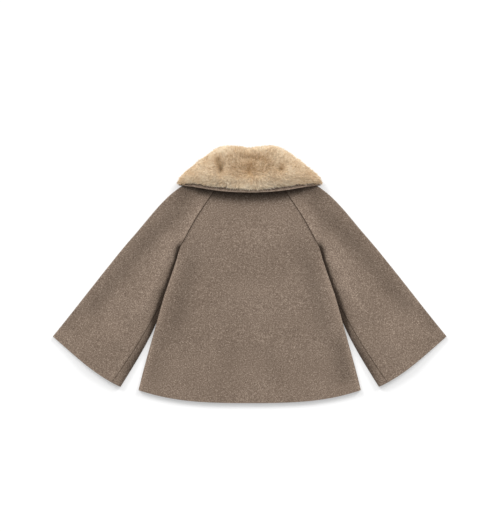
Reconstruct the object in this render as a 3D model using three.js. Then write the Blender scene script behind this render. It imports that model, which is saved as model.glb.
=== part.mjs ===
// A hip-length swing jacket in thick wool coating with flared raglan sleeves and a fur collar,
// laid face down on a table with its sleeves spread. Millimetres.
// +X is to the wearer's right, +Y towards the neck, +Z up from the table.
//
// Each cut piece is a wall of cloth of its own. A wall is worked out as rows of points down the
// middle of the cloth, moved out by half its thickness to each side. The fronts lie flat on the
// table, the back lies on them with its sides rolled under, and each sleeve is a flattened tube of
// two pieces. The wool collar is a band that runs round the neck, folds along its roll line and
// ends in two points under the fronts; the fur lies on its outside.
import * as THREE from "three";

// ---- cloth ----
const WOOL = 2.2; // thickness of the wool coating
const COLLAR_WOOL = 2.8; // the collar is two layers, pressed
const SEAM = 0.3; // space between two pieces at a seam
const TABLE = WOOL / 2; // height of the middle of a cloth that lies on the table

// Rows of numbers as objects with named columns.
function table(columns, rows) {
  return rows.map((row) => Object.fromEntries(columns.map((column, i) => [column, row[i]])));
}

// ---- the garment laid flat ----
const HEM_CENTRE_Y = -333.5;
const CROSS_BOW = 3; // power by which the hem and the other cross lines bend towards the sides
const BACK_NECK_Y = 290.5;
const FRONT_NECK_Y = 200;

// The collar's ends lie under the fronts and lift all that is above them.
const LIFT = 12.4;
const LIFT_CENTRE_Y = 235;
const LIFT_HALF = [190, 135]; // half width and half length of the lifted part
const LIFT_ENDS = 2.1; // where the slope round it reaches the table, in those halves

// Half of the back's outline, from the top of the raglan seam to the hem's corner. curl: degrees
// that the edge is rolled under; radius: of that roll; turned: cloth that lies under the panel past
// the roll; top: height of the edge above the lowest cloth; drop: 1 where the turned cloth falls to
// the table, to meet the front at the side seam. The first six rows are the seam to the sleeve.
const BACK_EDGE = table(
  ["y", "x", "curl", "radius", "turned", "top", "drop"],
  [
    [   275,    62,   0,   3,    2,  6.3, 0],
    [   235,    80,   0,   3,    2,  6.3, 0],
    [   185, 113.8,   0,   3,    2,  6.5, 0],
    [   138, 144.5,   0,   3,    2,    7, 0],
    [    98,   166,   0,   3,    2,    8, 0],
    [  67.6,   182,   0,   3,    2,  9.6, 0],
    [    45, 187.5,  70,   3,    2, 11.8, 0],
    [    20, 194.8, 160,   3,    3, 14.2, 0],
    [   -10, 205.4, 180,   3,    6, 15.6, 0],
    [   -40, 215.6, 180,   3,   11, 16.5, 0],
    [   -54, 220.6, 180,   3, 14.6,   17, 1],
    [  -100, 233.8, 180, 3.4, 15.6, 17.5, 1],
    [  -136, 243.8, 180, 3.8,   14,   17, 1],
    [  -175,   255, 180,   5, 11.4, 12.6, 1],
    [  -240, 273.2, 180,   5,   12, 11.3, 1],
    [  -300, 288.4, 180,   5,   12, 11.1, 1],
  ],
);
const ARMPIT = 10; // row of the table where the side seam starts
const FALL_STARTS = 0.3; // share of the turned cloth that stays up before it falls
const FALL_LEAN = 0.75; // how much its cut edge still leans when it reaches the table
const BACK_SPREAD = 0.9; // power that makes the facets of the back narrower towards its sides
const SIDE_RISE = 3; // power by which the back stays level before its height turns to the edge's
// Height of the middle of the back above the lowest cloth, in the same rows.
const BACK_MIDDLE = [
  6.3, 6.7, 7.4, 8.2, 8.8, 9.7, 11.2, 13.2, 15.1, 15.7, 15.2, 13.4, 12.3, 11.4, 10.4, 10,
];

// A sleeve's cross lines, from the neck to the cuff. ox, oy: a point of the edge over the arm;
// ix, iy: of the back's raglan seam, and past the armpit of the fold under the arm; fx, fy: of the
// front's raglan seam, and past the armpit of that fold again; bow: how far the line bulges towards
// the cuff, most of it past the middle; overarm, ridge, inner: heights of the upper cloth at the
// outer edge, at the ridge along the sleeve and at the inner end; curl and radius: of the roll under
// the arm; strip: cloth of the front piece that shows beside the fold. The first six rows meet the
// back's first six.
const SLEEVE = table(
  ["ox", "oy", "ix", "iy", "fx", "fy", "bow", "overarm", "ridge", "inner", "curl", "radius", "strip"],
  [
    [ 99.3,    267,    62,  275,    78,   236,  -2, 5.6,  6.3,  6.3,   0, 2.5,  2],
    [150.5,  243.5,    80,  235,    90, 215.5,   0,   6,  6.8,  6.3,   0, 2.5,  2],
    [195.5,  214.5, 113.8,  185,   113,   180,   0, 6.6,    8,  6.5,   0, 2.5,  2],
    [235.3,    176, 144.5,  138,   140,   138,   0, 7.2,  9.8,    7,   0, 2.5,  2],
    [262.9,  143.8,   166,   98,   161,    98,   0, 7.6, 11.8,    8,   0, 2.5,  2],
    [287.6,  114.4,   182, 67.6,   176,  67.6,   0, 7.8, 13.2,  9.6,   0, 2.5,  2],
    [  307,   92.2,   189,   45, 182.5,    45,   0, 7.8, 13.8,  6.6,   0, 2.5,  2],
    [  332,     63,   194,   20, 188.5,    20,   0, 7.8, 14.2,    5,   0, 2.5,  2],
    [  360,     28, 198.5,  -12, 194.5,   -12,   1, 7.8, 14.4,  5.4,   0, 2.5,  2],
    [  386,   -4.5, 202.5,  -42, 202.5,   -42,   2, 7.8, 14.6,    6,   0, 2.5,  3],
    [  397,  -18.5, 213.5,  -58, 213.5,   -58,   2, 7.8, 14.8,  6.1, 180, 2.5,  4],
    [  421,    -49,   231,  -98,   231,   -98,   3, 7.8, 15.4,  7.1, 180,   3, 11],
    [  443,    -77,   250, -142,   250,  -142,   4, 7.8, 16.2, 10.1, 180, 4.5, 16],
    [  471, -112.5,   281, -202,   281,  -202,   5, 7.8, 16.8, 15.1, 180,   7, 20],
    [510.4, -161.2, 335.4, -291, 335.4,  -291, 7.6, 7.6, 16.4, 15.1, 180,   7, 24],
  ],
);
const SLEEVE_ARMPIT = 9; // row of the table where the front's raglan seam ends
const RIDGE_AT = 0.66; // share of the way from the overarm edge to the inner end
const VALLEY_AT = 0.22; // the same for the shallow trough between the overarm edge and the ridge
const VALLEY_LEVEL = 0.35; // how far up it would be on a straight slope from the edge to the ridge
const VALLEY_DEPTH = 0.8; // how far it sags below that
const SLEEVE_SPREAD = 0.35; // makes the facets narrower towards the inner end
const BOW_LEAN = 0.5; // share of a cross line's bulge that it has at once; the rest grows along it

// The collar's cross lines, from the middle of the back round to its front end. n: where it is
// sewn to the jacket; r: where it folds; e: its outer edge. facing: degrees that its outside has
// turned away from straight up. bend: radius of the fold. set: how far the fur stays back from the
// edge. pile: how thick the fur is. bulge: how far the fall is rounded out half way down.
const COLLAR = table(
  ["nx", "ny", "nz", "rx", "ry", "rz", "ex", "ey", "ez", "facing", "bend", "set", "pile", "bulge"],
  [
    [    0, 291.1, 18.7,   0, 312.5, 23.8,     0, 211.5,   38,   0,   5, 12, 14, 2],
    [   34, 289.4, 18.7,  32,   316, 23.8,    52, 213.2,   38,   0,   5, 12, 17, 2],
    [   62,   278, 18.7,  60,   317, 23.6,   104, 219.3, 36.6,   0,   5, 11, 18, 2],
    [   82, 274.2, 18.7,  88,   306, 23.2,   147,   227, 27.8,  10, 4.8, 11, 14, 2],
    [   97,   271, 18.2, 108,   292, 21.6,   171, 229.8, 22.2,  45, 4.6,  7, 12, 3],
    [102.5, 269.5, 16.2, 119, 284.5, 17.6,   182,   232, 16.6,  90, 4.4,  2, 14, 3],
    [ 94.5,   266,   14, 109,   283, 13.2,   174,   233, 10.4, 140, 2.6,  4,  9, 0],
    [   83, 249.4, 13.5,  88,   272, 12.7,   154,   194, 10.7, 180,   2,  7,  9, 0],
    [ 61.5, 219.2, 13.5,  62,   247, 12.7,   120,   148, 10.7, 180,   2,  8,  9, 0],
    [   32, 203.4, 13.5,  34,   228, 12.7,    82,   120, 10.7, 180,   2,  8,  9, 0],
    [    4, 200.8, 13.5,   6,   214, 12.7,    44,   107, 10.7, 180,   2,  8,  9, 0],
  ],
);
const LIP_RISE = 2.2; // the collar's wool edge turns up beside the fur
const FUR_ROUND = 9; // how far from its rim the pile reaches its full thickness
const FUR_RIM = 5; // thickness at the rim
const FUR_FROM = 2; // step of the fold where the fur starts
const ROLL_FULLNESS = 1.4; // how much sooner than that the pile is full beside the fold
const LAST_ROWS = 30; // distance between the last cross lines, at the collar's ends

// ---- how finely the pieces are faceted ----
const ROWS = 2; // rows of facets for each row of a table
const ACROSS = { back: 8, front: 4, sleeveBack: 6, sleeveFront: 3 };
const OVERARM = 3;
const ROLL = 4;
const LEAST_ROLL = 4; // length of a rolled edge where it is still flat
const TURNED = { back: 4, sleeve: 2 };
const COLLAR_STEPS = { stand: 2, fold: 5, fall: 5, lip: 2 };

const wool = new THREE.MeshStandardMaterial({ color: 0x82746a, roughness: 0.95, metalness: 0 });
const fur = new THREE.MeshStandardMaterial({ color: 0xbca386, roughness: 0.9, metalness: 0 });

// ---- lines through tables ----

const lerp = THREE.MathUtils.lerp;
const radians = THREE.MathUtils.degToRad;
const shares = (count) => Array.from({ length: count + 1 }, (_, i) => i / count);
const places = (first, last) => shares((last - first) * ROWS).map((s) => lerp(first, last, s));

// A smooth function through the values, one at each whole number, that doesn't overshoot them.
function smooth(values) {
  const slope = values.slice(1).map((v, i) => v - values[i]);
  const tangent = values.map((_, i) => {
    if (i === 0) return slope[0];
    if (i === values.length - 1) return slope[i - 1];
    if (slope[i - 1] * slope[i] <= 0) return 0;
    return (2 * slope[i - 1] * slope[i]) / (slope[i - 1] + slope[i]);
  });
  return (t) => {
    const i = Math.min(Math.floor(t), values.length - 2);
    const u = t - i;
    const rest = 1 - u;
    return (
      values[i] * (1 + 2 * u) * rest * rest +
      tangent[i] * u * rest * rest +
      values[i + 1] * u * u * (3 - 2 * u) +
      tangent[i + 1] * u * u * (u - 1)
    );
  };
}

// All the columns of a table as a function of the place along it, 0 for the first row.
function along(table) {
  const columns = Object.keys(table[0]).map((key) => [key, smooth(table.map((row) => row[key]))]);
  return (t) => Object.fromEntries(columns.map(([key, f]) => [key, f(t)]));
}

const backEdge = along(BACK_EDGE);
const backMiddle = smooth(BACK_MIDDLE);
const sleeve = along(SLEEVE);
const collar = along(COLLAR);

// How far the lowest cloth is lifted off the table at a place.
function lift(x, y) {
  const away = Math.hypot(x / LIFT_HALF[0], (y - LIFT_CENTRE_Y) / LIFT_HALF[1]);
  return LIFT * (1 - THREE.MathUtils.smoothstep(away, 1, LIFT_ENDS));
}

const lifted = (x, y, height) => new THREE.Vector3(x, y, height + lift(x, y));

// ---- walls of cloth ----

// Unit normals of a grid of points, by the points beside each.
function normalsOf(grid) {
  const rows = grid.length;
  const cols = grid[0].length;
  const slopeAt = (line, j) => {
    if (j > 0 && j < cols - 1) return line[j + 1].clone().sub(line[j - 1]);
    const [end, next, far] = j === 0 ? [line[0], line[1], line[2]] : [line[j], line[j - 1], line[j - 2]];
    const slope = next.clone().multiplyScalar(4).addScaledVector(end, -3).sub(far);
    return j === 0 ? slope : slope.negate();
  };
  return grid.map((row, i) =>
    row.map((_, j) => {
      const down = grid[Math.min(i + 1, rows - 1)][j].clone().sub(grid[Math.max(i - 1, 0)][j]);
      return down.cross(slopeAt(row, j)).normalize();
    }),
  );
}

// A closed solid between two grids of the same size.
function between(name, material, upper, lower) {
  const rows = upper.length;
  const cols = upper[0].length;
  const points = [...upper.flat(), ...lower.flat()];
  const up = (i, j) => i * cols + j;
  const low = (i, j) => rows * cols + i * cols + j;
  const faces = [];
  const quad = (a, b, c, d) => faces.push(a, b, c, a, c, d);
  for (let i = 0; i < rows - 1; i++)
    for (let j = 0; j < cols - 1; j++) {
      quad(up(i, j), up(i + 1, j), up(i + 1, j + 1), up(i, j + 1));
      quad(low(i, j), low(i, j + 1), low(i + 1, j + 1), low(i + 1, j));
    }
  for (let i = 0; i < rows - 1; i++) {
    quad(up(i, 0), low(i, 0), low(i + 1, 0), up(i + 1, 0));
    quad(up(i, cols - 1), up(i + 1, cols - 1), low(i + 1, cols - 1), low(i, cols - 1));
  }
  for (let j = 0; j < cols - 1; j++) {
    quad(up(0, j), up(0, j + 1), low(0, j + 1), low(0, j));
    quad(up(rows - 1, j), low(rows - 1, j), low(rows - 1, j + 1), up(rows - 1, j + 1));
  }
  const side = new THREE.Vector3();
  let volume = 0;
  for (let k = 0; k < faces.length; k += 3) {
    side.crossVectors(points[faces[k + 1]], points[faces[k + 2]]);
    volume += points[faces[k]].dot(side) / 6;
  }
  if (volume < 0) faces.reverse();
  const geometry = new THREE.BufferGeometry().setFromPoints(points);
  geometry.setIndex(faces);
  geometry.computeVertexNormals();
  const mesh = new THREE.Mesh(geometry, material);
  mesh.name = name;
  return mesh;
}

const moved = (grid, normals, distance) =>
  grid.map((row, i) => row.map((p, j) => p.clone().addScaledVector(normals[i][j], distance)));

function wall(name, grid, thickness = WOOL) {
  const normals = normalsOf(grid);
  return between(name, wool, moved(grid, normals, thickness / 2), moved(grid, normals, -thickness / 2));
}

const mirrorPoint = (p) => new THREE.Vector3(-p.x, p.y, p.z);
const mirrored = (grid) => grid.map((row) => row.map(mirrorPoint));

// A piece and its mirror image for the other side of the body.
const bothSides = (name, grid) => [wall(name + "_right", grid), wall(name + "_left", mirrored(grid))];

// A rolled edge in steps: out past where it starts to bend, and up or down from there.
function rolledEdge(curl, radius, turned, steps) {
  const angle = radians(curl);
  const length = Math.max(radius * angle, LEAST_ROLL);
  const bent = angle > 0 ? length / angle : 0;
  const bend = (turn) =>
    angle > 0
      ? { out: bent * Math.sin(turn), away: bent * (1 - Math.cos(turn)), past: 0 }
      : { out: (length * turn) / radians(1), away: 0, past: 0 };
  const roll = shares(ROLL).slice(1).map((s) => bend(angle > 0 ? angle * s : radians(1) * s));
  const end = roll[roll.length - 1];
  const strip = shares(steps).slice(1).map((s) => ({
    out: end.out + Math.cos(angle) * turned * s,
    away: end.away + Math.sin(angle) * turned * s,
    past: s,
  }));
  return [...roll, ...strip];
}

const reach = (edge) => Math.max(...edge.map((p) => p.out));

// ---- the back ----

// How far the turned cloth falls from under the roll to the table.
const fallOf = (edge) => edge.drop * (edge.top - 2 * edge.radius - TABLE);

// Half of a row of the back, from the middle to its cut edge.
function backHalfRow(place) {
  const edge = backEdge(place);
  const share = (BACK_EDGE[0].y - edge.y) / (BACK_EDGE[0].y - BACK_EDGE[BACK_EDGE.length - 1].y);
  const middleY = lerp(BACK_NECK_Y, HEM_CENTRE_Y, share);
  const roll = rolledEdge(edge.curl, edge.radius, edge.turned, TURNED.back);
  const seam = edge.curl > 0 ? 0 : SEAM / 2;
  const start = edge.x - reach(roll) - seam;
  const bowed = (x) => middleY + (edge.y - middleY) * Math.pow(x / edge.x, CROSS_BOW);
  const flat = shares(ACROSS.back).map((s) => {
    const x = start * Math.pow(s, BACK_SPREAD);
    const height = lerp(backMiddle(place), edge.top, Math.pow(s, SIDE_RISE));
    return lifted(x, bowed(x), height);
  });
  const rolled = roll.map((p) => {
    const x = start + p.out;
    const fallen = THREE.MathUtils.smoothstep(p.past, FALL_STARTS, 1);
    return lifted(x, bowed(x), edge.top - p.away - fallOf(edge) * fallen);
  });
  return [...flat, ...rolled];
}

function backGrid() {
  return places(0, BACK_EDGE.length - 1).map((place) => {
    const half = backHalfRow(place);
    return [...half.slice(1).reverse().map(mirrorPoint), ...half];
  });
}

// ---- the fronts ----

// The front's cut edge: the raglan seam, then the side seam to the hem.
function frontEdge() {
  const raglan = places(0, SLEEVE_ARMPIT).map((place) => {
    const row = sleeve(place);
    return { x: row.fx - SEAM / 2, y: row.fy, outline: row.fx };
  });
  const side = places(ARMPIT, BACK_EDGE.length - 1).map((place) => {
    const edge = backEdge(place);
    const lean = (FALL_LEAN * fallOf(edge)) / edge.turned;
    const seam = SEAM + TABLE * lean;
    return { x: edge.x - edge.radius - edge.turned - seam, y: edge.y, outline: edge.x };
  });
  return [...raglan, ...side];
}

function frontGrid() {
  const edge = frontEdge();
  const top = edge[0].y;
  const bottom = edge[edge.length - 1].y;
  return edge.map(({ x: edgeX, y: edgeY, outline }) => {
    const middleY = lerp(FRONT_NECK_Y, HEM_CENTRE_Y, (top - edgeY) / (top - bottom));
    return shares(ACROSS.front).map((s) => {
      const x = lerp(SEAM / 2, edgeX, s);
      const y = middleY + (edgeY - middleY) * Math.pow(x / outline, CROSS_BOW);
      return lifted(x, y, TABLE);
    });
  });
}

// ---- the sleeves ----

// A cross line of a sleeve: its length, and the place at a distance from its outer edge.
function crossLine(row, ix, iy) {
  const inwards = new THREE.Vector2(ix - row.ox, iy - row.oy);
  const length = inwards.length();
  inwards.normalize();
  const at = (distance, height) => {
    const s = THREE.MathUtils.clamp(distance / length, 0, 1);
    const bulge = row.bow * 4 * s * (1 - s) * (BOW_LEAN + s);
    const x = row.ox + inwards.x * distance - inwards.y * bulge;
    const y = row.oy + inwards.y * distance + inwards.x * bulge;
    return lifted(x, y, height);
  };
  return { at, length };
}

// The quarter roll at the edge over the arm, from its seam half way up to one of the two cloths.
function overarmRoll(row, at, sign) {
  const half = (row.overarm - TABLE) / 2;
  const middle = TABLE + half;
  return shares(OVERARM).slice(0, -1).map((s) => {
    const angle = (s * Math.PI) / 2;
    const height = SEAM / 2 + (half - SEAM / 2) * Math.sin(angle);
    return at(half * (1 - Math.cos(angle)), middle + sign * height);
  });
}

// Height of a sleeve's upper cloth, by the share of the way from the overarm edge to the inner end.
function upperHeight(row, share) {
  const valley = lerp(row.overarm, row.ridge, VALLEY_LEVEL) - VALLEY_DEPTH;
  const ease = THREE.MathUtils.smoothstep;
  if (share < VALLEY_AT) return lerp(row.overarm, valley, ease(share, 0, VALLEY_AT));
  if (share < RIDGE_AT) return lerp(valley, row.ridge, ease(share, VALLEY_AT, RIDGE_AT));
  return lerp(row.ridge, row.inner, ease(share, RIDGE_AT, 1));
}

function sleeveBackGrid() {
  return places(0, SLEEVE.length - 1).map((place) => {
    const row = sleeve(place);
    const { at, length } = crossLine(row, row.ix, row.iy);
    const half = (row.overarm - TABLE) / 2;
    const strip = row.curl > 0 ? row.strip : 0;
    const end = length - strip - SEAM / 2;
    const top = shares(ACROSS.sleeveBack).map((s) => {
      const across = s * (1 + SLEEVE_SPREAD * (1 - s));
      return at(lerp(half, end, across), upperHeight(row, across));
    });
    return [...overarmRoll(row, at, 1), ...top];
  });
}

function sleeveFrontGrid() {
  return places(0, SLEEVE.length - 1).map((place) => {
    const row = sleeve(place);
    const { at, length } = crossLine(row, row.fx, row.fy);
    const half = (row.overarm - TABLE) / 2;
    const turned = row.curl > 0 ? row.strip - row.radius - SEAM / 2 : row.strip;
    const roll = rolledEdge(row.curl, row.radius, turned, TURNED.sleeve);
    const start = length - reach(roll) - (row.curl > 0 ? 0 : SEAM / 2);
    const floor = shares(ACROSS.sleeveFront).map((s) => at(lerp(half, start, s), TABLE));
    const rolled = roll.map((p) => at(start + p.out, TABLE + p.away));
    return [...overarmRoll(row, at, -1), ...floor, ...rolled];
  });
}

// ---- the collar ----

// A cross line of the collar, from the neck seam round the fold to the outer edge.
function collarRow(row) {
  const neck = new THREE.Vector3(row.nx, row.ny, row.nz);
  const tip = new THREE.Vector3(row.rx, row.ry, row.rz);
  const edge = new THREE.Vector3(row.ex, row.ey, row.ez);
  const facing = radians(row.facing);
  const outside = new THREE.Vector3(Math.sin(facing), 0, Math.cos(facing));
  const away = tip.clone().sub(neck.clone().add(edge).multiplyScalar(0.5));
  away.addScaledVector(outside, -away.dot(outside)).normalize();
  const centre = tip.clone().addScaledVector(away, -row.bend);
  const onFold = (angle) =>
    centre
      .clone()
      .addScaledVector(outside, -row.bend * Math.cos(angle))
      .addScaledVector(away, row.bend * Math.sin(angle));
  const foldStart = onFold(0);
  const foldEnd = onFold(Math.PI);
  const furEnds = 1 - row.set / foldEnd.distanceTo(edge);
  const onFall = (s) => {
    const bulge = row.bulge * Math.sin(Math.PI * s);
    const lip = LIP_RISE * THREE.MathUtils.smoothstep(s, furEnds, 1);
    return foldEnd.clone().lerp(edge, s).addScaledVector(outside, bulge + lip);
  };
  return [
    ...shares(COLLAR_STEPS.stand).slice(0, -1).map((s) => neck.clone().lerp(foldStart, s)),
    ...shares(COLLAR_STEPS.fold).slice(0, -1).map((s) => onFold(Math.PI * s)),
    ...shares(COLLAR_STEPS.fall).slice(0, -1).map((s) => onFall(s * furEnds)),
    ...shares(COLLAR_STEPS.lip).map((s) => onFall(lerp(furEnds, 1, s))),
  ];
}

const collarPlaces = places(0, COLLAR.length - 1);
const collarHalf = collarPlaces.map((place) => collarRow(collar(place)));
const collarGrid = [...collarHalf.slice(1).reverse().map((row) => row.map(mirrorPoint)), ...collarHalf];

// Thickness of the pile, by how far a place is from the rims of the fur.
function pileAt(full, fromRim) {
  const s = Math.min(fromRim / FUR_ROUND, 1);
  return lerp(FUR_RIM, full, Math.sqrt(1 - (1 - s) * (1 - s)));
}

function furCollar() {
  const first = COLLAR_STEPS.stand + FUR_FROM;
  const last = COLLAR_STEPS.stand + COLLAR_STEPS.fold + COLLAR_STEPS.fall;
  const normals = normalsOf(collarGrid);
  const sign = Math.sign(normals[collarHalf.length - 1][last].z);
  const skin = [];
  const tips = [];
  collarGrid.forEach((row, i) => {
    const place = Math.abs(i - collarHalf.length + 1) / ROWS;
    const { pile } = collar(place);
    const fromEnd = (COLLAR.length - 1 - place) * LAST_ROWS;
    const lengths = row.map((p, j) => (j > first ? p.distanceTo(row[j - 1]) : 0));
    skin.push([]);
    tips.push([]);
    for (let j = first; j <= last; j++) {
      const fromRoll = lengths.slice(0, j + 1).reduce((sum, v) => sum + v, 0);
      const fromEdge = lengths.slice(j + 1, last + 1).reduce((sum, v) => sum + v, 0);
      const thick = pileAt(pile, Math.min(fromRoll * ROLL_FULLNESS, fromEdge, fromEnd));
      const outwards = normals[i][j].clone().multiplyScalar(sign);
      const base = COLLAR_WOOL / 2 + SEAM;
      skin[i].push(row[j].clone().addScaledVector(outwards, base));
      const tip = row[j].clone().addScaledVector(outwards, base + thick);
      tips[i].push(tip.setZ(Math.max(tip.z, 0)));
    }
  });
  return between("fur_collar", fur, tips, skin);
}

const group = new THREE.Group();
group.add(wall("back", backGrid()));
group.add(...bothSides("front", frontGrid()));
group.add(...bothSides("sleeve_back", sleeveBackGrid()));
group.add(...bothSides("sleeve_front", sleeveFrontGrid()));
group.add(wall("under_collar", collarGrid, COLLAR_WOOL));
group.add(furCollar());

// The origin is the centre of the outline from above, on the table.
const box = new THREE.Box3().setFromObject(group);
const centre = box.getCenter(new THREE.Vector3());
for (const mesh of group.children) mesh.geometry.translate(-centre.x, -centre.y, -box.min.z);

export default group;
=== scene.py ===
import math

import bmesh
import bpy
import numpy as np
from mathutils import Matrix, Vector, kdtree, noise
from mathutils.bvhtree import BVHTree


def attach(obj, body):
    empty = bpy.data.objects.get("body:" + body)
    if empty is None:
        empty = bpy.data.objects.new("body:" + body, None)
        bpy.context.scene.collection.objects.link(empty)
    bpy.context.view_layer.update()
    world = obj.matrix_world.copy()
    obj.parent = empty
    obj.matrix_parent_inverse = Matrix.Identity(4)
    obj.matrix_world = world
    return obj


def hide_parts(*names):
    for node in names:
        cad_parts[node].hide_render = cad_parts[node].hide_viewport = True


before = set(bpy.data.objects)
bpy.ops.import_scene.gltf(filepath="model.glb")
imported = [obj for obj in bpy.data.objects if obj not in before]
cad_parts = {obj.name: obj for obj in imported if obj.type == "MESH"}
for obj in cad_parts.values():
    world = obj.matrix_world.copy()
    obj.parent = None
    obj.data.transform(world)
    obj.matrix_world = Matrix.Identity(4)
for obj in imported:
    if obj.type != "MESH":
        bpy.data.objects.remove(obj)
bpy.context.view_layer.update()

MM = 0.001

# ---- cloth ----
SAME_POINT = 0.01 * MM  # vertices no further apart are merged
EDGE_ROUND = 0.9 * MM  # a cut edge of felted wool is nearly a full round of its 2.2 mm
SHARP = math.radians(50)  # the cut edges of a wall are sharper than this and its folds are not
CLOTH_LEVELS = 2
SEWN = {
    "back": ["sleeve_back_right", "sleeve_back_left", "front_right", "front_left", "under_collar"],
    "front_right": ["back", "sleeve_front_right", "under_collar"],
    "front_left": ["back", "sleeve_front_left", "under_collar"],
    "sleeve_back_right": ["back", "sleeve_front_right", "under_collar"],
    "sleeve_back_left": ["back", "sleeve_front_left", "under_collar"],
    "sleeve_front_right": ["front_right", "sleeve_back_right", "under_collar"],
    "sleeve_front_left": ["front_left", "sleeve_back_left", "under_collar"],
    "under_collar": ["back", "front_right", "front_left", "sleeve_back_right", "sleeve_back_left"],
}
SEAM_REACH = 2.4 * MM  # a cut edge no further than this from a sewn piece is part of the seam
SEAM_STEP = 0.7 * MM
SEAM_WIDE = 4 * MM  # over this distance the shading of a seam runs out
SEAM_FAR = 50 * MM  # the longest distance from a seam that is stored

# The line where each sleeve meets the back, on the right: the raglan seam, then the fold over it.
RAGLAN = [(62, 276), (80, 236), (114, 186), (144, 139), (166, 99), (182, 69), (188, 46), (195, 21)]
FOLD = [(195, 21), (205, -9), (216, -39), (234, -99), (244, -135), (255, -174), (273, -239)]
# The inner folded edge of the sleeve, on the right.
UNDERARM = [(203, -43), (219, -57), (231, -97), (250, -141), (281, -201), (337, -292), (360, -330)]
# Soft ridges and troughs of the upper cloth on the right: half width and rise in mm, how much paler
# (darker, below 0) the colour is painted, a painted highlight on ridges and rims and a painted shade
# in troughs, crevices and under the collar, the left side's share, and over how many mm each end
# fades.
CREASES = {
    "sleeve": [
        {"path": RAGLAN, "half": 18, "rise": 2.6, "pale": 0.3, "left": 1.1, "ends": (200, 10)},
        {"path": [(188, 118), (205, 84), (224, 40), (244, -20), (272, -80), (308, -140)], "half": 21,
         "rise": 2.8, "pale": 0.22, "left": 1.25, "ends": (60, 80)},
        {"path": [(150, 215), (205, 140), (262, 85), (330, 8), (400, -80), (440, -130)], "half": 26,
         "rise": -2.0, "pale": -0.13, "left": 1.1, "ends": (50, 70)},
        {"path": [(128, 236), (160, 214), (190, 176)], "half": 24,
         "rise": -2.0, "pale": -0.14, "left": 1.0, "ends": (20, 40)},
        # painted shadow under the collar
        {"path": [(78, 214), (112, 214), (142, 228)], "half": 13,
         "rise": -0.6, "pale": -0.3, "left": 1.0, "ends": (5, 20)},
        {"path": [(330, -120), (362, -164), (390, -200)], "half": 32,
         "rise": 1.1, "pale": 0.08, "left": 1.5, "ends": (40, 40)},
        {"path": [(440, -70), (464, -104), (492, -150)], "half": 22,
         "rise": -1.0, "pale": -0.12, "left": 0.8, "ends": (25, 20)},
        # painted shade along the underarm fold
        {"path": UNDERARM, "half": 15, "rise": -4.4, "pale": -0.34, "left": 1.0, "ends": (1, 130)},
        # painted shadow in the crevice beside the back's fold
        {"path": [(214, -44), (231, -97), (241, -120), (254, -148)], "half": 11,
         "rise": -1.0, "pale": -0.6, "left": 1.0, "ends": (40, 40)},
        # painted highlight on the sleeve's crest beside the fold
        {"path": [(200, 70), (213, 40), (226, 6)], "half": 12,
         "rise": 0.4, "pale": 0.3, "left": 1.5, "ends": (20, 30)},
        # painted shadow where the back's fold lies over the sleeve
        {"path": [(170, 94), (183, 70), (190, 45)] + FOLD[:6], "half": 8,
         "rise": -4.8, "pale": -1.05, "left": 1.0, "ends": (34, 30)},
    ],
    "back": [
        {"path": [(128, 110), (148, 40), (168, -40), (190, -120), (206, -210)], "half": 28,
         "rise": -1.4, "pale": -0.12, "left": 1.1, "ends": (110, 100)},
        {"path": [(228, -150), (240, -210), (252, -290)], "half": 28,
         "rise": -0.9, "pale": -0.16, "left": 0.4, "ends": (40, 20)},
        # painted highlight along the rim of the back's fold
        {"path": [(184, 66)] + FOLD + [(289, -301), (300, -340)], "half": 10,
         "rise": 0.5, "pale": 0.28, "left": 1.0, "ends": (40, 60)},
        {"path": [(0, 150), (6, 40), (-4, -60), (2, -170)], "half": 90,
         "rise": 0.5, "pale": 0.02, "left": 0.8, "ends": (80, 90)},
        {"path": [(66, -300), (58, -230), (40, -160)], "half": 22,
         "rise": -0.5, "pale": -0.03, "left": 0.6, "ends": (20, 50)},
        {"path": [(118, -312), (112, -240), (100, -180)], "half": 20,
         "rise": 0.7, "pale": 0.03, "left": 1.3, "ends": (20, 60)},
        # painted shadow under the collar
        {"path": [(-120, 216), (0, 206), (120, 216)], "half": 19,
         "rise": -0.7, "pale": -0.14, "left": 1.0, "ends": (20, 20)},
    ],
    "front": [],
}
UNEVEN = {"size": 38 * MM, "height": 0.45 * MM}  # the waviness of thick felted wool
# Cloth below the low height stays put, and above the high one it takes the whole crease: over the
# table, and over the collar's hidden ends. These lift all that lies on them by a height in mm,
# within an oval of half widths across and along, down to nothing at its size times the ends.
LOW_CLOTH = {"table": 4 * MM, "lifted": 3 * MM}
HIGH_CLOTH = {"table": 9 * MM, "lifted": 6 * MM}
LIFT = {"height": 12.4, "y": 235, "across": 190, "along": 135, "ends": 2.1}
LEAST_STANDING = 0.35  # share of the height over the low one that a trough leaves
# Painted light in the wool's colour: at 0.5 the colour stays as it is, below it painted shade, above
# it painted highlight.
NEUTRAL_PAINTED_LIGHT = 0.5
# The under collar's wool is painted paler all over: a painted highlight.
COLLAR_PAINTED_HIGHLIGHT = 0.9
PAINTED_LIGHT_FROM = 3 * MM  # height of the cloth's face from which the creases' painted highlight and shade is laid on

# ---- fur ----
OVERHANG = 2.4 * MM  # how far the hair hangs over the wool edge of the collar, and so how wide the painted shade under it is
PELT_FADE = 2 * MM  # the painted shade along the pelt's edge lies this much deeper under the hair towards the collar's ends
PELT_ENDS = {"from": 30 * MM, "over": 70 * MM}  # from so far off the middle, over so long a stretch
PELT_EDGE = 2.2 * MM  # hair stands only where the pelt is thicker than this
PILE_SINK = 0.3  # share of the pile's thickness that is loose hair over the dense underfur
MOST_SINK = 3.6 * MM
FULL_PILE = 12 * MM  # a pile this thick takes the whole depth of a hollow
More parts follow.
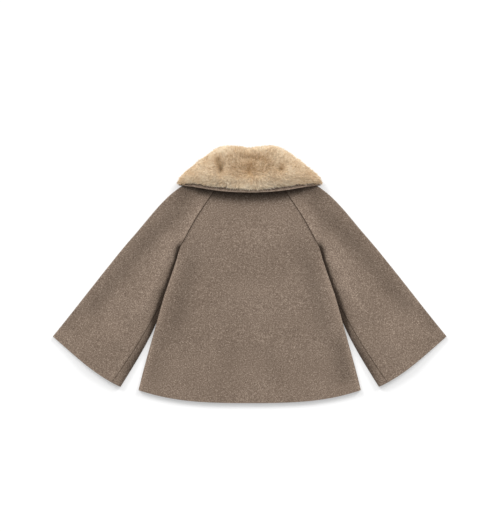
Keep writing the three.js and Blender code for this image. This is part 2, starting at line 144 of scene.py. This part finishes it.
# Hollows where the hair parts, in mm: the middle, the half widths and the depth.
HOLLOWS = [
    {"x": 2, "y": 297, "across": 24, "along": 8, "depth": 2.8},
    {"x": 0, "y": 272, "across": 9, "along": 22, "depth": 1.8},
    {"x": -2, "y": 256, "across": 18, "along": 8, "depth": 2},
    {"x": -79, "y": 291, "across": 8, "along": 13, "depth": 5},
    {"x": -70, "y": 272, "across": 9, "along": 14, "depth": 6.5},
    {"x": 76, "y": 270, "across": 10, "along": 9, "depth": 5},
    {"x": 86, "y": 284, "across": 16, "along": 9, "depth": 1.5},
    {"x": -24, "y": 238, "across": 16, "along": 8, "depth": 1.5},
]
HOLLOW_ABOVE = 18 * MM  # the underfur is hollowed above this height
HOLLOW_DARK_ABOVE = 25 * MM  # and the hair rooted in a hollow is painted darker above this one, a painted shade
HOLLOW_DARK = 0.75
DEEP = 6 * MM  # depth of a hollow that shows its darkest
UNDERFUR = {"along": 0.42, "hollow": 0.3, "tone": 0.5}

HAIR_LENGTH = 11 * MM
HAIR_RADIUS = 0.3 * MM  # three times a real guard hair, so that it shows from above
HAIR_RINGS = (1.0, 0.8)  # shares of the radius at the root and at the bend
HAIR_CORNERS = ((-1, 0), (0, 0.45), (1, 0))  # of its cross-section, in radii
HAIR_ALONG = [0.3, 0.3, 0.3, 0.7, 0.7, 0.7, 1.0]  # from root to tip, for the colour
HAIR_POINTS = len(HAIR_ALONG)
LEAN = (1.3, 2.6)  # how far the hair lies over, as a slope from upright
SWAY = 0.42  # how far a clump strays from the way it is combed
STRAY = 0.32  # how far one hair strays from its clump
CLUMP_LENGTHS = (0.8, 1.12)  # shares of the hair's length
HAIR_LENGTHS = (0.62, 1.18)  # shares of its clump's length
GATHERED = 0.24  # share by which the tips of a clump are drawn together
ARCH = 0.1  # height of a hair's bend, as a share of its length
TWIST = 0.25  # how unevenly the hairs are turned about their length
LOWEST_HAIR = 0.1 * MM  # above the table
# In metres: the hair is combed away from a line across the collar's middle, at a height z, and
# hardly sideways within half of x = 0.
PARTING = {"y": 0.262, "z": 0.02, "half": 0.06}
# Around a hollow it also lies outwards, as far as the hollow's length times the reach.
OUTWARDS = {"share": 0.3, "reach": 1.5, "z": 0.04}

# Fine tufts and broad waves in how pale the hair is: their size and strength.
TUFTS = {"size": 3 * MM, "pale": 0.24}
WAVES = {"size": 26 * MM, "pale": 0.26}
MEAN_TONE = 0.64
TONE_SPREAD = 0.16
# In metres: where the pile is flattened between the hollows and shows more of its darker underfur;
# the fuller band above the collar's edge, below y and within x, whose hair is painted paler, a painted
# highlight on hair that faces away from the light; and the collar's ends beyond x, where the hair
# is less bleached.
WORN = {"y": 0.272, "across": 0.08, "along": 0.034, "dark": 0.25}
PAINTED_HIGHLIGHT_BAND = {"y": 0.272, "x": 0.175, "fade": 0.055, "pale": 0.24}
ENDS = {"x": 0.095, "fade": 0.08, "dark": 0.26}

# Where the stretches of pile meet, and the hairs and clumps in each.
TOP_ABOVE = 14 * MM
CROWN_ABOVE = 268 * MM
UPPER_PILE = {"hairs": 20000, "clumps": 2400}
FRONT_PILE = {"hairs": 10500, "clumps": 700}
FIRST_SEED = 11


# ---- colours and materials ----


def linear(hex_colour):
    """A linear colour for a shader from an sRGB hex value."""
    channels = [int(hex_colour[i : i + 2], 16) / 255 for i in (1, 3, 5)]
    return [c / 12.92 if c <= 0.04045 else ((c + 0.055) / 1.055) ** 2.4 for c in channels] + [1.0]


def add(tree, kind, settings, inputs):
    """A node with its settings, and its inputs as values or as links from other nodes' outputs."""
    made = tree.nodes.new(kind)
    for name, value in settings.items():
        setattr(made, name, value)
    for key, value in inputs.items():
        socket = made.inputs[key]
        if isinstance(value, bpy.types.NodeSocket):
            tree.links.new(value, socket)
        else:
            socket.default_value = value
    return made


def ramp(tree, factor, stops):
    """A colour ramp through stops of (position, hex colour)."""
    made = add(tree, "ShaderNodeValToRGB", {}, {"Fac": factor})
    elements = made.color_ramp.elements
    while len(elements) < len(stops):
        elements.new(0.5)
    for element, (position, colour) in zip(elements, stops):
        element.position = position
        element.color = linear(colour)
    return made.outputs["Color"]


def speckle(tree, place, size, **inputs):
    """Noise with grains of a size in metres."""
    made = add(tree, "ShaderNodeTexNoise", {}, {"Vector": place, "Scale": 1 / size, **inputs})
    return made.outputs[0]


def stored(tree, name):
    """A value stored at the points of the mesh."""
    return add(tree, "ShaderNodeAttribute", {"attribute_name": name}, {}).outputs["Fac"]


def calculated(tree, operation, first, second):
    return add(tree, "ShaderNodeMath", {"operation": operation}, {0: first, 1: second}).outputs[0]


def multiplied(tree, first, second):
    """One colour multiplied by another."""
    inputs = {"Fac": 1.0, "Color1": first, "Color2": second}
    return add(tree, "ShaderNodeMixRGB", {"blend_type": "MULTIPLY"}, inputs).outputs["Color"]


def surface(name, colour_of, principled, bump_of):
    """A material with one Principled shader, its colour and bump made by two functions."""
    material = bpy.data.materials.new(name)
    material.use_nodes = True
    tree = material.node_tree
    tree.nodes.clear()
    place = add(tree, "ShaderNodeTexCoord", {}, {}).outputs["Object"]
    inputs = {"Base Color": colour_of(tree, place), **principled}
    height, strength, distance = bump_of(tree, place)
    bumped = {"Height": height, "Strength": strength, "Distance": distance}
    inputs["Normal"] = add(tree, "ShaderNodeBump", {}, bumped).outputs["Normal"]
    shader = add(tree, "ShaderNodeBsdfPrincipled", {}, inputs)
    add(tree, "ShaderNodeOutputMaterial", {}, {"Surface": shader.outputs["BSDF"]})
    return material


def melange_coating():
    """Felted wool coating spun from light and dark taupe fibres: matt, with a pale fuzz that catches
    the light at a grazing angle. Its flecks are 1 to 2 mm across; they are drawn 3 mm across so
    that they show from above. The crease of a sewn edge is dark for about 1 mm on each side; along
    the fur's edge that dark line is a painted shade under the overhanging hair. Light and shade are
    also painted into the colour: painted highlight on ridges and rims, painted shade in troughs,
    crevices and under the collar."""
    fleck, fibre, broad = 3 * MM, 1.3 * MM, 150 * MM
    melange_stops = [(0.34, "#60524A"), (0.44, "#877567"), (0.54, "#9D8B7B"), (0.64, "#CEBBAA")]
    worn_stops = [(0.35, "#F3F2F1"), (0.65, "#FFFFFF")]
    # dark crease of sewn edges, and painted shade along the fur's edge
    seam_stops = [(0.06, "#80766F"), (0.17, "#DAD7D4"), (0.32, "#FFFFFF")]
    # painted shade below 0.5, painted highlight above it
    painted_light_stops = [(0.0, "#6E6A66"), (0.5, "#DCDBDA"), (1.0, "#FFFFFF")]

    def colour_of(tree, place):
        flecks = speckle(tree, place, fleck, Detail=2.0, Roughness=0.6)
        fibres = speckle(tree, place, fibre, Detail=2.0, Roughness=0.7, Distortion=0.8)
        mean = calculated(tree, "MULTIPLY", calculated(tree, "ADD", flecks, fibres), 0.5)
        melange = ramp(tree, mean, melange_stops)
        worn = ramp(tree, speckle(tree, place, broad, Detail=2.0), worn_stops)
        away = calculated(tree, "MULTIPLY", stored(tree, "seam_and_shade"), 1 / SEAM_WIDE)
        sewn_and_shaded = ramp(tree, away, seam_stops)
        # painted highlight and painted shade from the creases
        lit_and_shaded = ramp(tree, stored(tree, "painted_light"), painted_light_stops)
        return multiplied(tree, multiplied(tree, multiplied(tree, melange, worn), sewn_and_shaded), lit_and_shaded)

    def bump_of(tree, place):
        return speckle(tree, place, fibre, Detail=4.0, Roughness=0.75), 0.5, 0.8 * MM

    cloth = {
        "Roughness": 0.95,
        "Specular IOR Level": 0.15,
        "Sheen Weight": 0.12,
        "Sheen Roughness": 0.5,
        "Sheen Tint": linear("#D8CCBF"),
    }
    return surface("melange_wool_coating", colour_of, cloth, bump_of)


def sheared_fur():
    """Soft sheared pelt, honey brown in the underfur and cream at the tips of the hair, with a faint
    silky gloss along the hair."""
    dense = 1.5 * MM
    hair_stops = [(0.0, "#8A6C47"), (0.35, "#DFC8A7"), (0.7, "#F6E6CD"), (1.0, "#FBF3E2")]
    tone_stops = [(0.0, "#B69A75"), (0.4, "#EEDFCB"), (0.85, "#FFFDF8")]

    def colour_of(tree, place):
        hair = ramp(tree, stored(tree, "along"), hair_stops)
        return multiplied(tree, hair, ramp(tree, stored(tree, "tone"), tone_stops))

    def bump_of(tree, place):
        return speckle(tree, place, dense, Detail=3.0), 0.3, 0.5 * MM

    hair = {
        "Roughness": 0.65,
        "Specular IOR Level": 0.3,
        "Sheen Weight": 0.6,
        "Sheen Roughness": 0.4,
        "Sheen Tint": linear("#F4E6CF"),
    }
    return surface("sheared_fur", colour_of, hair, bump_of)


WOOL = melange_coating()
FUR = sheared_fur()


# ---- meshes ----


def merged_copy(node):
    """A bmesh of a CAD node with its loose triangles merged and joined to quads."""
    bm = bmesh.new()
    bm.from_mesh(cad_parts[node].data)
    bmesh.ops.remove_doubles(bm, verts=bm.verts, dist=SAME_POINT)
    bmesh.ops.join_triangles(
        bm,
        faces=bm.faces,
        angle_face_threshold=math.radians(40),
        angle_shape_threshold=math.radians(60),
    )
    return bm


def solid_tree(node):
    """A search tree over a CAD node's surface."""
    bm = bmesh.new()
    bm.from_mesh(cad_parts[node].data)
    tree = BVHTree.FromBMesh(bm)
    bm.free()
    return tree


def point_tree(points):
    """A search tree over points."""
    tree = kdtree.KDTree(len(points))
    for i, point in enumerate(points):
        tree.insert(point, i)
    tree.balance()
    return tree


def subdivided(bm):
    """The mesh of a bmesh after Catmull-Clark subdivision. The bmesh is freed."""
    mesh = bpy.data.meshes.new("cage")
    bm.to_mesh(mesh)
    bm.free()
    cage = bpy.data.objects.new("cage", mesh)
    bpy.context.collection.objects.link(cage)
    modifier = cage.modifiers.new("smooth", "SUBSURF")
    modifier.levels = modifier.render_levels = CLOTH_LEVELS
    evaluated = cage.evaluated_get(bpy.context.evaluated_depsgraph_get())
    done = bpy.data.meshes.new_from_object(evaluated)
    bpy.data.objects.remove(cage)
    return done


def vectors(mesh, key):
    """The coordinates or normals of a mesh's vertices."""
    values = np.empty(len(mesh.vertices) * 3)
    mesh.vertices.foreach_get(key, values)
    return values.reshape(-1, 3)


def store(mesh, name, values):
    """Stores a value at each point of a mesh for its material."""
    mesh.attributes.new(name, "FLOAT", "POINT").data.foreach_set("value", values)


def finished(name, mesh, material, node):
    """A piece of the jacket that stands for a CAD node."""
    mesh.name = name
    mesh.materials.clear()
    mesh.materials.append(material)
    piece = bpy.data.objects.new(name, mesh)
    bpy.context.collection.objects.link(piece)
    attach(piece, "root")
    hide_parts(node)
    return piece


# ---- wool ----


def along_path(path, places):
    """Distance of each place from a path, how far along the path its nearest point lies, and the
    path's length."""
    best = np.full(len(places), np.inf)
    where = np.zeros(len(places))
    start = 0.0
    for a, b in zip(path[:-1], path[1:]):
        a, b = np.array(a, float), np.array(b, float)
        length = np.linalg.norm(b - a)
        way = (b - a) / length
        share = np.clip((places - a) @ way, 0, length)
        away = np.linalg.norm(places - a - share[:, None] * way, axis=1)
        nearer = away < best
        best[nearer] = away[nearer]
        where[nearer] = start + share[nearer]
        start += length
    return best, where, start


def smooth(share):
    """A soft step from 0 to 1."""
    share = np.clip(share, 0, 1)
    return share * share * (3 - 2 * share)


def creased(places, family):
    """The height in metres of the soft ridges and troughs at some places, and how much paler their
    colour is painted: painted highlight above 0, painted shade below it.
    """
    height = np.zeros(len(places))
    pale = np.zeros(len(places))
    for crease in CREASES[family]:
        for side, scale in ((1, 1.0), (-1, crease["left"])):
            path = [(side * x, y) for x, y in crease["path"]]
            away, where, length = along_path(path, places / MM)
            first, last = crease["ends"]
            fade = smooth(where / first) * smooth((length - where) / last)
            share = scale * fade * np.exp(-((away / crease["half"]) ** 2))
            height += crease["rise"] * share
            pale += crease["pale"] * share
    return height * MM, pale


def painted_light(mesh, pale):
    """Stores the light and shade painted into the cloth's colour: from 0, painted shade in a deep
    fold, to 1, painted highlight on a raised edge.
    """
    store(mesh, "painted_light", np.clip(pale, 0, 1))


def layers(places):
    """The height of the cloth over the table or over the collar's hidden ends, the height there
    up to which it stays put, and the one from which it takes the whole crease."""
    across, along = places[:, 0] / MM / LIFT["across"], (places[:, 1] / MM - LIFT["y"]) / LIFT["along"]
    raised = 1 - smooth((np.hypot(across, along) - 1) / (LIFT["ends"] - 1))
    low = LOW_CLOTH["table"] + (LOW_CLOTH["lifted"] - LOW_CLOTH["table"]) * raised
    high = HIGH_CLOTH["table"] + (HIGH_CLOTH["lifted"] - HIGH_CLOTH["table"]) * raised
    height = places[:, 2] - LIFT["height"] * MM * raised
    return height, low, high


def settle(mesh, family):
    """Lays the upper cloth in its soft creases, a little unevenly. No trough presses it down to the
    layer below."""
    places = vectors(mesh, "co")
    height, low, high = layers(places)
    share = smooth((height - low) / (high - low))
    uneven = np.array([noise.noise(Vector((x, y, 0)) / UNEVEN["size"]) for x, y in places[:, :2]])
    rise, pale = creased(places[:, :2], family)
    most = (1 - LEAST_STANDING) * np.maximum(height - low, 0)
    places[:, 2] += np.maximum(share * (rise + uneven * UNEVEN["height"]), -most)
    mesh.vertices.foreach_set("co", places.ravel())
    mesh.update()
    # Painted highlight on the ridges and painted shade in the troughs, on the colour of the upper
    # cloth.
    painted_light(mesh, NEUTRAL_PAINTED_LIGHT + smooth(height / PAINTED_LIGHT_FROM) * pale)


def seam_points(bm, node):
    """Points along the cut edges of a panel where another piece is sewn to it."""
    neighbours = [solid_tree(other) for other in SEWN[node]]
    points = []
    for edge in bm.edges:
        if not edge.is_manifold or edge.calc_face_angle() < SHARP:
            continue
        a, b = (v.co for v in edge.verts)
        middle = (a + b) / 2
        if any(tree.find_nearest(middle, SEAM_REACH)[0] is not None for tree in neighbours):
            steps = max(int((b - a).length / SEAM_STEP), 1)
            points += [a.lerp(b, i / steps) for i in range(steps + 1)]
    return points


def mark_seams(mesh, points, pelt=None):
    """Stores each point's distance from the nearest sewn edge, or from the pelt's edge if that is
    nearer, for the dark crease of the sewn edges. Along the pelt's edge the dark line is a painted
    shade under the overhanging hair."""
    tree = point_tree(points)
    away = [min(tree.find(v.co)[2], SEAM_FAR) for v in mesh.vertices]
    if pelt:
        for v in mesh.vertices:
            outer = smooth((abs(v.co.x) - PELT_ENDS["from"]) / PELT_ENDS["over"])
            hidden = pelt.find_nearest(v.co)[3] - OVERHANG + PELT_FADE * outer
            away[v.index] = max(min(away[v.index], hidden), 0)
    store(mesh, "seam_and_shade", away)


def rounded(bm):
    """Rounds the cut edges of a wall of cloth."""
    sharp = [e for e in bm.edges if e.is_manifold and e.calc_face_angle() > SHARP]
    bmesh.ops.bevel(
        bm,
        geom=sharp,
        offset=EDGE_ROUND,
        segments=2,
        profile=0.5,
        affect="EDGES",
        material=-1,
        clamp_overlap=True,
    )


def wall(node):
    """The smooth mesh of a panel on its CAD solid's form, and points along its seams."""
    bm = merged_copy(node)
    points = seam_points(bm, node)
    rounded(bm)
    return subdivided(bm), points


def wool_piece(node, mesh):
    mesh.shade_smooth()
    piece = finished("wool_" + node, mesh, WOOL, node)
    return piece


def panel(node, family):
    """A panel of coating laid in its creases."""
    mesh, points = wall(node)
    mark_seams(mesh, points)
    settle(mesh, family)
    piece = wool_piece(node, mesh)


panel("back", "back")
for side in ("right", "left"):
    panel("front_" + side, "front")
    panel("sleeve_back_" + side, "sleeve")
    panel("sleeve_front_" + side, "sleeve")


def under_collar():
    """The wool half of the collar. Hair from its outside hangs over its edge."""
    mesh, points = wall("under_collar")
    # dark line along the fur's edge: painted shade under the overhanging hair
    mark_seams(mesh, points, solid_tree("fur_collar"))
    # the whole under collar is painted paler: a painted highlight
    painted_light(mesh, np.full(len(mesh.vertices), COLLAR_PAINTED_HIGHLIGHT))
    piece = wool_piece("under_collar", mesh)


under_collar()


# ---- fur ----


def hollow_at(x, y):
    """Depth of the hollows in the pile at a place, in metres."""
    depth = 0.0
    for h in HOLLOWS:
        away = math.hypot((x / MM - h["x"]) / h["across"], (y / MM - h["y"]) / h["along"])
        depth += h["depth"] * math.exp(-away * away)
    return depth * MM


def underfur():
    """The dense underfur: the fur's solid, sunk by the depth of loose hair that stands on it. Also
    how thick the pile is at each of its points."""
    leather = solid_tree("under_collar")
    mesh = subdivided(merged_copy("fur_collar"))
    normals = [v.normal.copy() for v in mesh.vertices]
    thickness = np.empty(len(mesh.vertices))
    depth = np.zeros(len(mesh.vertices))
    for v, normal in zip(mesh.vertices, normals):
        away = leather.find_nearest(v.co)[3]
        thickness[v.index] = away
        sink = min(PILE_SINK * away, MOST_SINK)
        if v.co.z > HOLLOW_ABOVE:
            depth[v.index] = hollow_at(v.co.x, v.co.y) * min(away / FULL_PILE, 1)
        v.co -= normal * (sink + depth[v.index])
    mesh.update()
    # the underfur is painted darker with the depth of a hollow: painted shade
    store(mesh, "along", UNDERFUR["along"] - UNDERFUR["hollow"] * depth / DEEP)
    store(mesh, "tone", np.full(len(mesh.vertices), UNDERFUR["tone"]))
    return mesh, thickness


def unit(ways):
    return ways / np.maximum(np.linalg.norm(ways, axis=1, keepdims=True), 1e-9)


def scattered(rng, corners, normals, count):
    """Random places on triangles, evenly by area, with their smooth normals."""
    sides = np.cross(corners[:, 1] - corners[:, 0], corners[:, 2] - corners[:, 0])
    areas = np.linalg.norm(sides, axis=1)
    chosen = rng.choice(len(corners), size=count, p=areas / areas.sum())
    u, v = rng.random((2, count))
    over = u + v > 1
    u[over], v[over] = 1 - u[over], 1 - v[over]
    weights = np.stack([1 - u - v, u, v], axis=1)[:, :, None]
    places = (corners[chosen] * weights).sum(axis=1)
    turned = (normals[chosen] * weights).sum(axis=1)
    return places, unit(turned)


def combing(places, normals):
    """The way the hair is combed: up and down from a parting across the collar's middle, towards
    each end beyond it, and out of each hollow."""
    flow = places - np.array([0, PARTING["y"], PARTING["z"]])
    across = flow[:, 0]
    flow[:, 0] = across**3 / (across**2 + PARTING["half"] ** 2)
    flow = unit(flow)
    for h in HOLLOWS:
        out = places - np.array([h["x"] * MM, h["y"] * MM, OUTWARDS["z"]])
        away = np.linalg.norm(out, axis=1, keepdims=True)
        near = np.exp(-((away / (OUTWARDS["reach"] * h["along"] * MM)) ** 2))
        flow += OUTWARDS["share"] * unit(out) * near
    flow -= normals * (flow * normals).sum(axis=1, keepdims=True)
    return unit(flow)


def streaked(place):
    """How pale the hair at a place is: fine tufts, broad waves, the worn and less bleached stretches,
    and a painted highlight on the band above the collar's edge."""
    x, y, z = place
    pale = MEAN_TONE
    for grain in (TUFTS, WAVES):
        pale += grain["pale"] * noise.noise(Vector((x, y, z)) / grain["size"])
    worn = math.exp(-math.hypot(x / WORN["across"], (y - WORN["y"]) / WORN["along"]) ** 4)
    # painted highlight on the band above the collar's edge
    band = smooth((PAINTED_HIGHLIGHT_BAND["y"] - y) / PAINTED_HIGHLIGHT_BAND["fade"])
    highlight_band = band * smooth((PAINTED_HIGHLIGHT_BAND["x"] - abs(x)) / PAINTED_HIGHLIGHT_BAND["fade"])
    ends = smooth((abs(x) - ENDS["x"]) / ENDS["fade"])
    return pale + PAINTED_HIGHLIGHT_BAND["pale"] * highlight_band - WORN["dark"] * worn - ENDS["dark"] * ends


def combed_hair(rng, corners, normals, count, clumps):
    """The roots of a stretch of pile and the points of its hairs, drawn together in clumps: three
    corners at the root, three at the bend, and the tip."""
    roots, up = scattered(rng, corners, normals, count)
    middles, middle_up = scattered(rng, corners, normals, clumps)
    tree = point_tree(middles)
    clump = np.array([tree.find(place)[1] for place in roots])
    lean = rng.uniform(*LEAN, (clumps, 1))
    sway = rng.normal(0, SWAY, (clumps, 3))
    clump_way = unit(middle_up + combing(middles, middle_up) * lean + sway)
    clump_length = HAIR_LENGTH * rng.uniform(*CLUMP_LENGTHS, (clumps, 1))
    clump_tip = middles + clump_way * clump_length
    combed = combing(roots, up) * lean[clump]
    way = unit(up + combed + sway[clump] + rng.normal(0, STRAY, (count, 3)))
    length = clump_length[clump] * rng.uniform(*HAIR_LENGTHS, (count, 1))
    tip = roots + way * length
    tip += (clump_tip[clump] - tip) * GATHERED
    bend = roots + (tip - roots) * 0.5 + up * length * ARCH
    axis = unit(tip - roots)
    side = unit(np.cross(axis, up + rng.normal(0, TWIST, (count, 3))))
    other = np.cross(side, axis)
    rings = []
    for centre, radius in zip((roots, bend), HAIR_RINGS):
        for across, over in HAIR_CORNERS:
            rings.append(centre + (side * across + other * over) * HAIR_RADIUS * radius)
    points = np.stack(rings + [tip], axis=1)
    points[:, :, 2] = np.maximum(points[:, :, 2], LOWEST_HAIR)
    return roots, points


def hair_mesh(name, points):
    """A mesh of hairs: each has three sides up to its bend and three more up to its tip."""
    count = len(points)
    low, high = np.arange(3), np.arange(3, 6)
    quads = np.stack([low, np.roll(low, -1), np.roll(high, -1), high], axis=1)
    tips = np.stack([high, np.roll(high, -1), np.full(3, 6)], axis=1)
    one_hair = np.concatenate([quads.ravel(), tips.ravel()])
    loops = one_hair + np.arange(count)[:, None] * HAIR_POINTS
    totals = np.tile([4, 4, 4, 3, 3, 3], count)
    mesh = bpy.data.meshes.new(name)
    mesh.vertices.add(count * HAIR_POINTS)
    mesh.vertices.foreach_set("co", points.ravel())
    mesh.loops.add(loops.size)
    mesh.loops.foreach_set("vertex_index", loops.ravel())
    mesh.polygons.add(totals.size)
    mesh.polygons.foreach_set("loop_start", np.concatenate([[0], np.cumsum(totals)[:-1]]))
    mesh.update(calc_edges=True)
    return mesh


def pile(name, seed, corners, normals, stretch):
    """A stretch of pile on some triangles of the underfur."""
    rng = np.random.default_rng(seed)
    count = stretch["hairs"]
    roots, points = combed_hair(rng, corners, normals, count, stretch["clumps"])
    mesh = hair_mesh(name, points)
    # hair rooted in a hollow is painted darker: painted shade
    deep = np.array([hollow_at(x, y) for x, y in roots[:, :2]]) / DEEP
    dark = HOLLOW_DARK * np.clip(deep, 0, 1)
    shaded = np.where(roots[:, 2] > HOLLOW_DARK_ABOVE, 1 - dark, 1.0)
    store(mesh, "along", np.tile(HAIR_ALONG, count) * np.repeat(shaded, HAIR_POINTS))
    streaks = np.array([streaked(place) for place in roots])
    tone = np.clip(streaks + rng.normal(0, TONE_SPREAD, count), 0, 1)
    store(mesh, "tone", np.repeat(tone, HAIR_POINTS))
    mesh.shade_flat()
    return mesh


def fur():
    """The underfur and the loose hair on it, in six stretches."""
    base, thickness = underfur()
    base.calc_loop_triangles()
    count = len(base.loop_triangles)
    triangles = np.empty(count * 3, dtype=np.int32)
    base.loop_triangles.foreach_get("vertices", triangles)
    triangles = triangles.reshape(count, 3)
    corners = vectors(base, "co")[triangles]
    normals = vectors(base, "normal")[triangles]
    haired = thickness[triangles].min(axis=1) > PELT_EDGE
    middle = corners.mean(axis=1)
    base.shade_smooth()
    piece = finished("underfur", base, FUR, "fur_collar")
    right = middle[:, 0] > 0
    top = middle[:, 2] > TOP_ABOVE
    crown = middle[:, 1] > CROWN_ABOVE
    stretches = {
        "pile_back_right": (right & top & ~crown, UPPER_PILE),
        "pile_back_left": (~right & top & ~crown, UPPER_PILE),
        "pile_crown_right": (right & top & crown, UPPER_PILE),
        "pile_crown_left": (~right & top & crown, UPPER_PILE),
        "pile_front_right": (right & ~top, FRONT_PILE),
        "pile_front_left": (~right & ~top, FRONT_PILE),
    }
    for seed, (name, (where, stretch)) in enumerate(stretches.items(), start=FIRST_SEED):
        chosen = haired & where
        mesh = pile(name, seed, corners[chosen], normals[chosen], stretch)
        hair = finished(name, mesh, FUR, "fur_collar")


fur()


# ---- surroundings ----

PIXEL = 2.6 * MM  # width of a pixel of the view at the table
VIEW_HEIGHT = 532 * PIXEL
VIEW_MIDDLE = (0.0008, 0.0221)
CAMERA_HEIGHT = 4.5
SENSOR = 36.0
SIGHT = 200  # the camera sees as far as the table's corners
TABLE = {"half": 40, "drop": 0.3 * MM, "glow": 0.36}  # so wide that its edge shows in no view
ROOM_GLOW = 0.27
SOFTBOX_AWAY = 3


def camera():
    made = bpy.data.cameras.new("camera")
    made.sensor_width = SENSOR
    made.lens = SENSOR * CAMERA_HEIGHT / VIEW_HEIGHT
    made.clip_end = SIGHT
    holder = bpy.data.objects.new("camera", made)
    holder.location = (*VIEW_MIDDLE, CAMERA_HEIGHT)
    bpy.context.collection.objects.link(holder)
    bpy.context.scene.camera = holder


def floor():
    """A matt white board over a light box, so that shadows on it stay pale."""
    bm = bmesh.new()
    bmesh.ops.create_grid(bm, x_segments=1, y_segments=1, size=TABLE["half"])
    bmesh.ops.translate(bm, verts=bm.verts, vec=(0, 0, -TABLE["drop"]))
    mesh = bpy.data.meshes.new("table_top")
    bm.to_mesh(mesh)
    bm.free()
    made = bpy.data.objects.new("table_top", mesh)
    bpy.context.collection.objects.link(made)
    material = bpy.data.materials.new("lit_white_board")
    material.use_nodes = True
    board = {
        "Base Color": linear("#D0D0D0"),
        "Roughness": 0.9,
        "Specular IOR Level": 0.1,
        "Emission Color": linear("#FFFFFF"),
        "Emission Strength": TABLE["glow"],
    }
    shader = material.node_tree.nodes["Principled BSDF"]
    for key, value in board.items():
        shader.inputs[key].default_value = value
    mesh.materials.append(material)


def softbox(name, azimuth, elevation, spread, strength):
    """Even light from a wide softbox, seen from the jacket at an azimuth from +Y and an elevation."""
    made = bpy.data.lights.new(name, "SUN")
    made.angle = math.radians(spread)
    made.energy = strength
    holder = bpy.data.objects.new(name, made)
    turn, rise = math.radians(azimuth), math.radians(elevation)
    place = Vector((math.sin(turn) * math.cos(rise), math.cos(turn) * math.cos(rise), math.sin(rise)))
    holder.rotation_euler = place.to_track_quat("Z", "Y").to_euler()
    holder.location = place * SOFTBOX_AWAY
    bpy.context.collection.objects.link(holder)


def room():
    """White surroundings that light the jacket faintly from all sides."""
    world = bpy.data.worlds.new("white_room")
    world.use_nodes = True
    background = world.node_tree.nodes["Background"]
    background.inputs["Color"].default_value = linear("#FFFFFF")
    background.inputs["Strength"].default_value = ROOM_GLOW
    bpy.context.scene.world = world


camera()
floor()
room()
softbox("softbox_left", -40, 31, 24, 1.88)
softbox("softbox_right", 40, 31, 24, 1.7)
softbox("softbox_above", 0, 62, 44, 1.0)
bpy.context.scene.view_settings.view_transform = "Standard"
